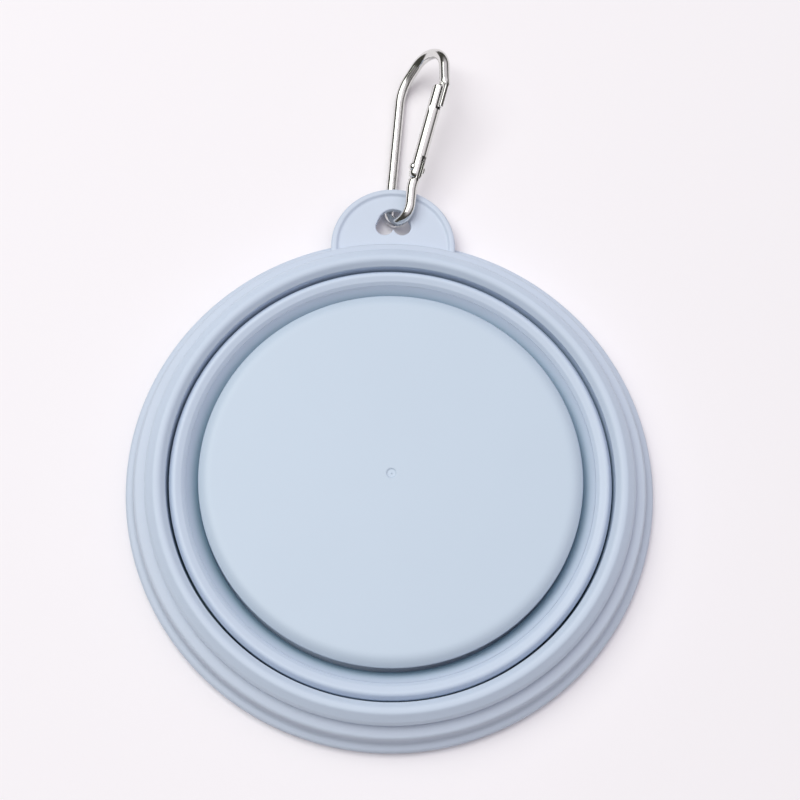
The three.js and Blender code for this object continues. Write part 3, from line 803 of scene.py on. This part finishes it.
def web_section(wall, node, inset, lean, waist, foot_radius):
    """Thin web: a line that leaves the lip inwards, steepens as 1 - (1 - t)^2 and bows in as (4 t (1 - t))^2,
    and a quarter turn under to the next ring's foot."""
    half = wall.web_thickness / 2
    steepness = 2 * lean / (wall.lean_share * (top(node) - bottom(node)))
    root_height = top(node) - half * math.sin(math.atan(steepness)) + WEB_LIFT
    root = np.array([radius(node) - half - inset, root_height])
    low = bottom(node) + wall.foot_height / 2
    heel = root[0] - lean
    bend = min(heel - foot_radius, WEB_TURN * half)
    angle = np.linspace(0, -np.pi / 2, ARC_STEPS * 2 + 1)[:, None]
    around = np.hstack([heel - bend + bend * np.cos(angle), low + bend + bend * np.sin(angle)])
    fall = np.linspace(0, 1, WEB_POINTS)[:-1]
    leaned = 1 - np.maximum(1 - fall / wall.lean_share, 0) ** 2
    down = root + (around[0] - root) * np.stack([leaned, fall], -1)
    down[:, 0] -= waist * (4 * fall * (1 - fall)) ** 2
    under = np.array([[foot_radius, low]])
    line = np.vstack([down, around, under]) if bend < heel - foot_radius else np.vstack([down, around])
    return strip(line, wall.web_thickness)


# Base

def base_profile(base):
    """From the gate mark out over the flat, round the edge and back under the plate."""
    outer = radius("base_plate")
    high = top("base_plate")
    low = bottom("base_plate")
    floor = high - base.mark_depth
    nub = np.linspace(0, np.pi, MARK_RINGS)[1:]
    mark = np.linspace(0, 1, MARK_RINGS)
    edge = np.linspace(0, 1, EDGE_RINGS)
    centre = outer - base.edge_width
    flat = np.linspace(base.mark_radius * FLAT_START, centre - base.edge_width / 4, FLAT_RINGS)
    radii = [
        base.nub_radius * nub / np.pi,
        base.mark_radius * (MARK_START + MARK_RUN * mark),
        flat,
        centre + base.edge_width * edge,
        [outer - EDGE_INSET],
        outer - FINE_EDGE - np.linspace(0, UNDER_SHARE, UNDER_RINGS) * outer,
    ]
    heights = [
        floor + base.nub_height * (1 + np.cos(nub)) / 2,
        floor + base.mark_depth * smooth(mark),
        np.full(len(flat), high),
        high - base.edge_round * edge ** EDGE_POWER,
        [high - base.edge_round - EDGE_DROP],
        np.full(UNDER_RINGS, low),
    ]
    return np.stack([np.concatenate(radii), np.concatenate(heights)], -1)


# Snap hook

class HookShape:
    """The hook drawn flat, X from spine to gate and Y from the narrow bend to the nose, and its lie in space.
    The gate's hinge gives the place of the pivot and the normal of the hook's plane; the spine is level."""

    pivot_place = np.array(joint("gate_hinge")["pos_m"])
    normal = unit(np.array(joint("gate_hinge")["axis"]))
    spine = unit(np.array([normal[1], -normal[0], 0]))
    across = np.cross(spine, normal)

    def __init__(self, hook):
        self.hook = hook
        lean = hook.gate_lean
        self.along = np.array([math.sin(lean), math.cos(lean)])
        self.outward = np.array([math.cos(lean), -math.sin(lean)])
        heel_bend = np.array([1 - math.cos(lean), math.sin(lean)]) * hook.heel_bend
        self.heel_run = hook.below_rivet + hook.end_clearance
        heel_end = np.array([2 * hook.narrow_bend, hook.heel_straight]) + heel_bend + self.along * hook.heel_end
        self.pivot = heel_end + self.along * self.heel_run
        self.knee = lean - hook.nose_lean
        nose_y = hook.length - hook.wire - hook.narrow_bend - hook.nose_bend
        reach = (hook.nose_bend * math.cos(self.knee) + hook.nose_straight * math.sin(self.knee)
                 + hook.nose_knee * (1 - math.cos(self.knee)))
        offset = self.pivot @ self.outward + hook.nose_outward - reach
        nose_x = (offset + nose_y * math.sin(lean)) / math.cos(lean)
        step = hook.nose_bend - hook.shoulder_bend
        turn_in = hook.shoulder_turn
        self.shoulder_run = (nose_x - hook.shoulder_bend - step * math.cos(turn_in)) / math.sin(turn_in)
        self.spine_run = nose_y - self.shoulder_run * math.cos(turn_in) + step * math.sin(turn_in)
        self.nose = ((np.array([nose_x, nose_y]) - self.pivot) @ self.along
                     + (hook.nose_bend - hook.nose_knee) * math.sin(self.knee)
                     - hook.nose_straight * math.cos(self.knee))
        self.gate_top = self.nose - hook.end_clearance
        self.slot_half = hook.tongue_thickness / 2 + hook.slot_clearance
        self.heel_slot_end = hook.heel_tongue + hook.heel_slot
        self.plunger_tip = hook.heel_tongue + hook.plunger_gap
        self.spring_foot = self.plunger_tip + hook.plunger_length + hook.play
        self.bore_end = self.spring_foot + hook.spring_length + hook.play

    def in_space(self, x, y):
        """Places in space of points of the hook's plane."""
        return (self.pivot_place + (x - self.pivot[0])[..., None] * self.across
                + (y - self.pivot[1])[..., None] * self.spine)

    def on_gate(self, station):
        """Points on the gate's axis, a distance past the pivot."""
        flat = self.pivot + np.asarray(station)[:, None] * self.along
        return self.in_space(flat[:, 0], flat[:, 1])

    def gate_axes(self, count):
        """Directions across the gate: outward in the hook's plane, and along its normal."""
        out = self.outward[0] * self.across + self.outward[1] * self.spine
        return np.tile(out, (count, 1)), np.tile(self.normal, (count, 1))

    def path(self):
        """The wire from the heel's tip to the nose's tip: straight runs and arcs, each with a length and a turn
        to the right. A part run s of an arc moves along its chord 2 L / turn * sin(turned / 2). Gives the
        places, headings and the distance from the start."""
        hook = self.hook
        steps = [
            (hook.heel_tongue + self.heel_run, 0),
            (hook.heel_end, 0),
            (hook.heel_bend * hook.gate_lean, -hook.gate_lean),
            (hook.heel_straight, 0),
            (hook.narrow_bend * math.pi, math.pi),
            (self.spine_run, 0),
            (hook.shoulder_bend * hook.shoulder_turn, hook.shoulder_turn),
            (self.shoulder_run, 0),
            (hook.nose_bend * (math.pi + hook.nose_lean - hook.shoulder_turn),
             math.pi + hook.nose_lean - hook.shoulder_turn),
            (hook.nose_straight, 0),
            (hook.nose_knee * self.knee, self.knee),
            (hook.nose_tongue, 0),
        ]
        place = self.pivot + self.along * hook.heel_tongue
        heading = math.pi + hook.gate_lean
        walked = 0.0
        places, headings, distances = [], [], []
        for length, turning in steps:
            run = np.linspace(0, length, 2 + int(max(abs(turning) / PATH_TURN, length / PATH_STEP)))
            turned = turning * run / length
            chord = run if turning == 0 else 2 * length / turning * np.sin(turned / 2)
            middle = heading + turned / 2
            points = place + chord[:, None] * np.stack([np.sin(middle), np.cos(middle)], -1)
            places.append(points[:-1])
            headings.append((heading + turned)[:-1])
            distances.append((walked + run)[:-1])
            place = points[-1]
            heading += turning
            walked += length
        places.append(place[None])
        headings.append(np.array([heading]))
        distances.append(np.array([walked]))
        return np.vstack(places), np.concatenate(headings), np.concatenate(distances)


def wire_surface(shape):
    """Round wire whose ends are pressed flat. Around the path each section is a superellipse: a half width and
    half thickness, and a power that grows from 2, a circle, to 7, a rounded bar, along the tongues."""
    hook = shape.hook
    place, heading, distance = shape.path()
    centres = shape.in_space(place[:, 0], place[:, 1])
    tangent = np.sin(heading)[:, None] * shape.across + np.cos(heading)[:, None] * shape.spine
    up = np.tile(shape.normal, (len(tangent), 1))
    side = np.cross(tangent, up)
    heel_flat = hook.heel_tongue + shape.heel_run - hook.shoulder
    to_end = distance[-1] - distance
    heel = 1 - smooth((distance - heel_flat) / hook.shoulder)
    nose = 1 - smooth((to_end - hook.nose_tongue + hook.shoulder / 2) / hook.shoulder)
    half = hook.wire / 2
    width = half + heel * (hook.heel_tongue_width / 2 - half) + nose * (hook.nose_tongue_width / 2 - half)
    flat = np.maximum(heel, nose)
    thickness = half + flat * (hook.tongue_thickness / 2 - half)
    nearest_end = np.clip(np.minimum(distance, to_end) / TIP_ROUND, 0, 1)
    tip = TIP_SHARE + (1 - TIP_SHARE) * np.sqrt(1 - (1 - nearest_end) ** 2)
    power = 2 / (2 + BAR_POWER * flat)[:, None]
    angle = full_turn(WIRE_SIDES)
    a = (width * tip)[:, None] * np.sign(np.cos(angle)) * np.abs(np.cos(angle)) ** power
    b = (thickness * tip)[:, None] * np.sign(np.sin(angle)) * np.abs(np.sin(angle)) ** power
    return grid(carried(centres, side, up, a, b), ends=[centres[0], centres[-1]])


def gate_section(outer, slot_half, slot_floor):
    """Section of the gate: the long arc of a circle, then the way back along a slot of a floor and two walls,
    or along the short arc where there is no slot. Both ways have as many points."""
    lip = math.asin(slot_half / outer)
    share = np.linspace(0, 1, GATE_POINTS)
    angle = lip + share * (2 * np.pi - 2 * lip)
    arc = outer * np.stack([np.cos(angle), np.sin(angle)], -1)
    if slot_floor is None:
        back = (2 * share - 1) * lip
        way = outer * np.stack([np.cos(back), np.sin(back)], -1)
    else:
        wall = outer * math.cos(lip)
        corners = np.array([(wall, -slot_half), (slot_floor, -slot_half),
                            (slot_floor, slot_half), (wall, slot_half)])
        length = np.concatenate([[0], np.cumsum(np.linalg.norm(np.diff(corners, axis=0), axis=1))])
        way = np.stack([np.interp(share * length[-1], length, corners[:, k]) for k in (0, 1)], -1)
    return np.vstack([arc, way[1:-1]])


def gate_surface(shape):
    """Gate sleeve. Rings run from the end of the bore down to its mouth, out over the end face, and up the
    outside to the nose slot and the chamfered top, whose face is a strip between the arc and the slot. Under
    the sleeve two cheeks stand either side of the heel, segments of a circle that shrink over a round foot."""
    hook = shape.hook
    outer = hook.gate / 2
    floor = hook.nose_outward - hook.nose_tongue_width / 2 - hook.slot_clearance
    slot_start = shape.nose - hook.nose_tongue - hook.end_clearance
    plain = gate_section(outer, shape.slot_half, None)
    slotted = gate_section(outer, shape.slot_half, floor)
    tip = gate_section(outer - hook.gate_edge, shape.slot_half, floor)
    bore = plain * hook.bore / hook.gate
    rings = [(shape.bore_end, bore), (shape.heel_slot_end, bore), (shape.heel_slot_end, plain)]
    rings += [(y, plain) for y in np.linspace(shape.heel_slot_end, slot_start, SLEEVE_RINGS)[1:]]
    rings += [(y, slotted) for y in np.linspace(slot_start, shape.gate_top - hook.gate_edge, SLOT_RINGS)]
    rings += [(shape.gate_top, tip)]
    stations = np.array([ring[0] for ring in rings])
    section = np.stack([ring[1] for ring in rings])
    points = carried(shape.on_gate(stations), *shape.gate_axes(len(rings)), section[..., 0], section[..., 1])
    count = points.shape[1]
    vertices, faces = grid(points)
    end = len(vertices)
    vertices = np.vstack([vertices, shape.on_gate([shape.bore_end])])
    faces += [[i, (i + 1) % count, end] for i in range(count)]
    start = end - count
    arc = start + np.arange(GATE_POINTS)
    way = np.concatenate([[arc[0]], start + np.arange(count - 1, GATE_POINTS - 1, -1), [arc[-1]]])
    cap = np.stack([arc[:-1], arc[1:], way[1:], way[:-1]], -1).tolist()
    faces += [list(dict.fromkeys(corners)) for corners in cap]
    return joined([(vertices, faces), cheek_surface(shape, 1), cheek_surface(shape, -1)])


def cheek_surface(shape, side):
    """One cheek of the gate: at each station the segment of a circle past the slot, where over the round foot
    the circle's radius falls as a cosine."""
    hook = shape.hook
    outer = hook.gate / 2
    foot = outer - hook.below_rivet
    least = math.acos(shape.slot_half / outer)
    fall = np.linspace(least, 0, FOOT_RINGS)[1:]
    rise = np.linspace(foot, shape.heel_slot_end, CHEEK_RINGS)[1:]
    circle = np.concatenate([outer * np.cos(fall), np.full(len(rise), outer)])[:, None]
    stations = np.concatenate([foot - outer * np.sin(fall), rise])
    lip = np.arcsin(shape.slot_half / circle)
    share = np.linspace(0, 1, CHEEK_POINTS)
    angle = lip + share * (np.pi - 2 * lip) + (0 if side > 0 else np.pi)
    chord = circle * np.cos(lip) * (2 * share[1:-1] - 1) * side
    a = np.hstack([circle * np.cos(angle), chord])
    b = np.hstack([circle * np.sin(angle), np.full_like(chord, side * shape.slot_half)])
    out, up = shape.gate_axes(len(stations))
    tips = shape.on_gate([foot - outer * math.sin(least), shape.heel_slot_end])
    lift = np.array([shape.slot_half, (shape.slot_half + outer) / 2])[:, None] * side
    return grid(carried(shape.on_gate(stations), out, up, a, b), ends=tips + lift * shape.normal)


def pin_surface(shape, origin, axis, profile):
    """A pin turned about an axis: rings at the profile's distances along it, closed at both ends."""
    distance, radii = profile.T
    angle = full_turn(PIN_SIDES)
    helper = np.tile(shape.across, (len(radii), 1))
    axis = unit(axis)
    up = unit(helper - (helper @ axis)[:, None] * axis)
    side = np.cross(axis, up)
    centres = origin + distance[:, None] * axis
    points = carried(centres, side, up, radii[:, None] * np.cos(angle), radii[:, None] * np.sin(angle))
    return grid(points, ends=[centres[0], centres[-1]])


def rivet_profile(shape):
    """Distance and radius along the rivet: domed heads, each a quarter of an ellipse, on a straight shaft."""
    hook = shape.hook
    seat = hook.gate / 2 + BOND
    dome = np.linspace(DOME_START, np.pi / 2, DOME_RINGS)
    head = np.stack([seat + hook.rivet_head_height * np.cos(dome), hook.rivet_head / 2 * np.sin(dome)], -1)
    shaft = np.array([(seat, hook.rivet / 2)])
    half = np.vstack([head, shaft])
    return np.vstack([half * (-1, 1), half[::-1]])


def plunger_profile(shape):
    """Distance and radius along the plunger: a straight pin with rounded rims."""
    hook = shape.hook
    bend = np.linspace(0, np.pi / 2, PLUNGER_RINGS)
    body = hook.plunger / 2
    low = np.stack([shape.plunger_tip + PLUNGER_EDGE * (1 - np.cos(bend)),
                    body - PLUNGER_EDGE * (1 - np.sin(bend))], -1)
    high = low[::-1] * (-1, 1) + (2 * shape.plunger_tip + hook.plunger_length, 0)
    return np.vstack([low, high])


def spring_surface(shape):
    """Round wire along a helix: angle and rise grow together; the wire's up points away from the axis."""
    hook = shape.hook
    t = np.linspace(0, 1, int(hook.spring_turns * SPRING_STEPS_PER_TURN) + 1)
    angle = 2 * np.pi * hook.spring_turns * t
    half = hook.spring_wire / 2
    coil = hook.bore / 2 - half - hook.play
    rise = shape.spring_foot + half + t * (hook.spring_length - hook.spring_wire)
    out, up = shape.gate_axes(len(t))
    away = np.cos(angle)[:, None] * out + np.sin(angle)[:, None] * up
    centres = shape.on_gate(rise) + coil * away
    side = np.cross(unit(np.gradient(centres, axis=0)), away)
    wire = full_turn(SPRING_SIDES)[None]
    points = carried(centres, side, away, half * np.cos(wire), half * np.sin(wire))
    return grid(points, ends=[centres[0], centres[-1]])


# Operators

class DOGBOWL_OT_rim(Operator):
    """Make the hard rim and its tab"""
    bl_idname = "dog_bowl.rim"
    bl_label = "Rim"

    def execute(self, context):
        bowl = context.scene.dog_bowl
        plastic = hard_plastic("rim_moulding", bowl.finish.rim_plastic, bowl.finish)
        surfaces = {"rim_shell": ring(rim_section(bowl.rim)), "rim_tab": tab_surface(bowl.rim)}
        for name, surface in surfaces.items():
            piece = make_piece(name, surface, plastic)
            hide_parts("rim_ring")
            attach(piece, "rim")
        return {"FINISHED"}


class DOGBOWL_OT_soft_wall(Operator):
    """Make the soft ridge, the middle ring and the wall of the base"""
    bl_idname = "dog_bowl.soft_wall"
    bl_label = "Soft wall"

    def execute(self, context):
        bowl = context.scene.dog_bowl
        plastic = soft_plastic("soft_moulding", bowl.finish)
        rings = [
            ("soft_ridge", ridge_section(bowl.rim, bowl.wall), "rim_bead", "rim"),
            ("middle_ring", middle_section(bowl.wall), "middle_band", "middle"),
            ("base_wall", base_wall_section(bowl.wall), "base_band", "base"),
        ]
        for name, section, node, body in rings:
            piece = make_piece(name, ring(section), plastic)
            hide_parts(node)
            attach(piece, body)
        return {"FINISHED"}


class DOGBOWL_OT_webs(Operator):
    """Make the two thin webs that turn over when the bowl opens"""
    bl_idname = "dog_bowl.webs"
    bl_label = "Folding webs"

    def execute(self, context):
        bowl = context.scene.dog_bowl
        wall = bowl.wall
        plastic = soft_plastic("web_moulding_painted_shade", bowl.finish, with_painted_shade=True)
        outer_foot = radius("middle_band") - wall.wall_draft + BOND
        inner_foot = radius("base_band") + BOND
        webs = [
            ("outer_web", "outer_fold", (0, wall.outer_lean, 0, outer_foot), "rim", "middle"),
            ("inner_web", "inner_fold", (wall.inner_inset, wall.inner_lean, wall.inner_waist, inner_foot),
             "middle", "base"),
        ]
        for name, node, sizes, upper, lower in webs:
            section = web_section(wall, node, *sizes)
            # Painted shade: the share grows from nothing at the web's top to full a set part of the way down,
            # so the webs darken deeper in the groove
            depth = (top(node) - section[:, 1]) / (top(node) - bottom(node))
            painted_shade_share = np.tile(smooth(depth / wall.painted_shade_from), RING_SIDES)
            piece = make_piece(name, ring(section), plastic, sharp=CREASE, painted_shade_share=painted_shade_share)
            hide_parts(node)
            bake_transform(piece)
        return {"FINISHED"}


class DOGBOWL_OT_base(Operator):
    """Make the hard base plate"""
    bl_idname = "dog_bowl.base"
    bl_label = "Base plate"

    def execute(self, context):
        bowl = context.scene.dog_bowl
        plate = disc(base_profile(bowl.base), bottom("base_plate"),
                     top("base_plate") - bowl.base.mark_depth + bowl.base.nub_height)
        plastic = hard_plastic("base_moulding", bowl.finish.base_plastic, bowl.finish)
        piece = make_piece("base_disc", plate, plastic)
        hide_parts("base_plate")
        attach(piece, "base")
        return {"FINISHED"}


class DOGBOWL_OT_hook(Operator):
    """Make the snap hook's wire, gate and rivet"""
    bl_idname = "dog_bowl.hook"
    bl_label = "Snap hook"

    def execute(self, context):
        bowl = context.scene.dog_bowl
        shape = HookShape(bowl.hook)
        metal = plating(bowl.finish)
        rivet = pin_surface(shape, shape.pivot_place, shape.normal, rivet_profile(shape))
        pieces = [
            ("hook_wire", wire_surface(shape), "hook_frame", "hook"),
            ("gate_sleeve", gate_surface(shape), "hook_gate", "gate"),
            ("rivet", rivet, "gate_rivet", "gate"),
        ]
        for name, surface, node, body in pieces:
            piece = make_piece(name, surface, metal, sharp=HOOK_CREASE)
            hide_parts(node)
            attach(piece, body)
        return {"FINISHED"}


class DOGBOWL_OT_spring(Operator):
    """Make the spring and the plunger inside the gate"""
    bl_idname = "dog_bowl.spring"
    bl_label = "Gate spring"

    def execute(self, context):
        bowl = context.scene.dog_bowl
        shape = HookShape(bowl.hook)
        metal = steel(bowl.finish)
        axis = shape.along[0] * shape.across + shape.along[1] * shape.spine
        plunger = pin_surface(shape, shape.pivot_place, axis, plunger_profile(shape))
        for name, surface, node in (("coil_spring", spring_surface(shape), "gate_spring"),
                                    ("plunger", plunger, "gate_plunger")):
            piece = make_piece(name, surface, metal, sharp=CREASE)
            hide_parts(node)
            if name == "plunger":
                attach(piece, "plunger")
            else:
                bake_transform(piece)
        return {"FINISHED"}


class DOGBOWL_OT_stage(Operator):
    """Lay the floor, and set the light and the camera"""
    bl_idname = "dog_bowl.stage"
    bl_label = "Stage"

    def execute(self, context):
        scene = context.scene
        stage = scene.dog_bowl.stage
        scene.view_settings.view_transform = "Standard"
        lay_floor(stage)
        light_room(scene, stage)
        hang_lamp(scene, stage)
        set_camera(scene, stage)
        return {"FINISHED"}


def lay_floor(stage):
    """A square of pale card with a little tooth."""
    nodes = Nodes(bpy.data.materials.new("pale_card"))
    tooth = nodes.noise(nodes.place(), TOOTH_CELL, detail=3.0)
    nodes.shader.inputs["Base Color"].default_value = (*stage.floor, 1)
    nodes.shader.inputs["Roughness"].default_value = CARD_ROUGHNESS
    nodes.link(nodes.bump(tooth, TOOTH_DEPTH), nodes.shader.inputs["Normal"])
    half = stage.floor_width / 2
    corners = np.array([(-half, -half, 0), (half, -half, 0), (half, half, 0), (-half, half, 0)])
    floor = make_piece("floor", (corners, [[0, 1, 2, 3]]), nodes.owner)


def light_room(scene, stage):
    """World light that grows from dark to bright with the direction's height, and a little towards +X and
    +Y."""
    scene.world = bpy.data.worlds.new("studio_room")
    nodes = Nodes(scene.world, "Background")
    lean = nodes.add("ShaderNodeVectorMath", operation="DOT_PRODUCT")
    lean.inputs[1].default_value = (stage.sky_right, stage.sky_far, 1)
    nodes.link(nodes.add("ShaderNodeTexCoord").outputs["Generated"], lean.inputs[0])
    height = nodes.add("ShaderNodeMapRange", interpolation_type="SMOOTHSTEP")
    height.inputs["From Min"].default_value = stage.sky_start
    height.inputs["From Max"].default_value = stage.sky_end
    nodes.link(lean.outputs["Value"], height.inputs["Value"])
    sky = nodes.mixed(height.outputs["Result"], stage.sky_shade, stage.sky_tint)
    nodes.link(sky, nodes.shader.inputs["Color"])
    nodes.shader.inputs["Strength"].default_value = stage.sky_bright


def hang_lamp(scene, stage):
    """A large square lamp that faces the bowl."""
    light = bpy.data.lights.new("soft_lamp", "AREA")
    light.energy = stage.lamp_power
    light.size = stage.lamp_width
    light.color = stage.lamp_tint
    lamp = bpy.data.objects.new("soft_lamp", light)
    level = math.cos(stage.lamp_elevation)
    towards = np.array([level * math.cos(stage.lamp_azimuth), level * math.sin(stage.lamp_azimuth),
                        math.sin(stage.lamp_elevation)])
    right = unit(np.cross((0, 0, 1), towards))
    place = np.array([0, AXIS_Y, 0]) + towards * stage.lamp_distance
    lamp.matrix_world = placed(right, np.cross(towards, right), towards, place)
    scene.collection.objects.link(lamp)


def placed(right, up, back, place):
    """Matrix of an object with these axes at this place."""
    matrix = np.eye(4)
    matrix[:3] = np.stack([right, up, back, place], -1)
    return Matrix(matrix.tolist())


def set_camera(scene, stage):
    """Camera over the near side, looking down at the pitch, and turned by the yaw and then the roll."""
    pitch, yaw, roll = stage.camera_pitch, stage.camera_yaw, stage.camera_roll
    level = math.cos(pitch)
    forward = np.array([math.sin(yaw) * level, math.cos(yaw) * level, -math.sin(pitch)])
    right = np.array([math.cos(yaw), -math.sin(yaw), 0])
    up = np.cross(right, forward)
    rolled_right = right * math.cos(roll) + up * math.sin(roll)
    rolled_up = up * math.cos(roll) - right * math.sin(roll)
    data = bpy.data.cameras.new("camera")
    data.lens = stage.focal_length
    data.clip_start = NEAR_CLIP
    camera = bpy.data.objects.new("camera", data)
    place = np.array([stage.camera_x, AXIS_Y + stage.camera_y, stage.camera_z])
    camera.matrix_world = placed(rolled_right, rolled_up, -forward, place)
    scene.collection.objects.link(camera)
    scene.camera = camera


class DOGBOWL_PT_panel(Panel):
    """Pieces of the bowl in the order in which they are made"""
    bl_idname = "DOGBOWL_PT_panel"
    bl_label = "Collapsible Dog Bowl"
    bl_space_type = "VIEW_3D"
    bl_region_type = "UI"
    bl_category = "Dog Bowl"

    def draw(self, context):
        for step in STEPS:
            self.layout.operator(step.bl_idname)


STEPS = (
    DOGBOWL_OT_stage,
    DOGBOWL_OT_rim,
    DOGBOWL_OT_soft_wall,
    DOGBOWL_OT_webs,
    DOGBOWL_OT_base,
    DOGBOWL_OT_hook,
    DOGBOWL_OT_spring,
)
SETTINGS = (RimSizes, WallSizes, BaseSizes, HookSizes, Finish, StageSizes, BowlSettings)
CLASSES = SETTINGS + STEPS + (DOGBOWL_PT_panel,)


def register():
    for cls in CLASSES:
        bpy.utils.register_class(cls)
    bpy.types.Scene.dog_bowl = PointerProperty(name="Dog bowl", description="Settings of the bowl",
                                               type=BowlSettings)


def unregister():
    del bpy.types.Scene.dog_bowl
    for cls in reversed(CLASSES):
        bpy.utils.unregister_class(cls)


def main():
    register()
    for step in STEPS:
        group, operator = step.bl_idname.split(".")
        getattr(getattr(bpy.ops, group), operator)()


if __name__ == "__main__":
    main()
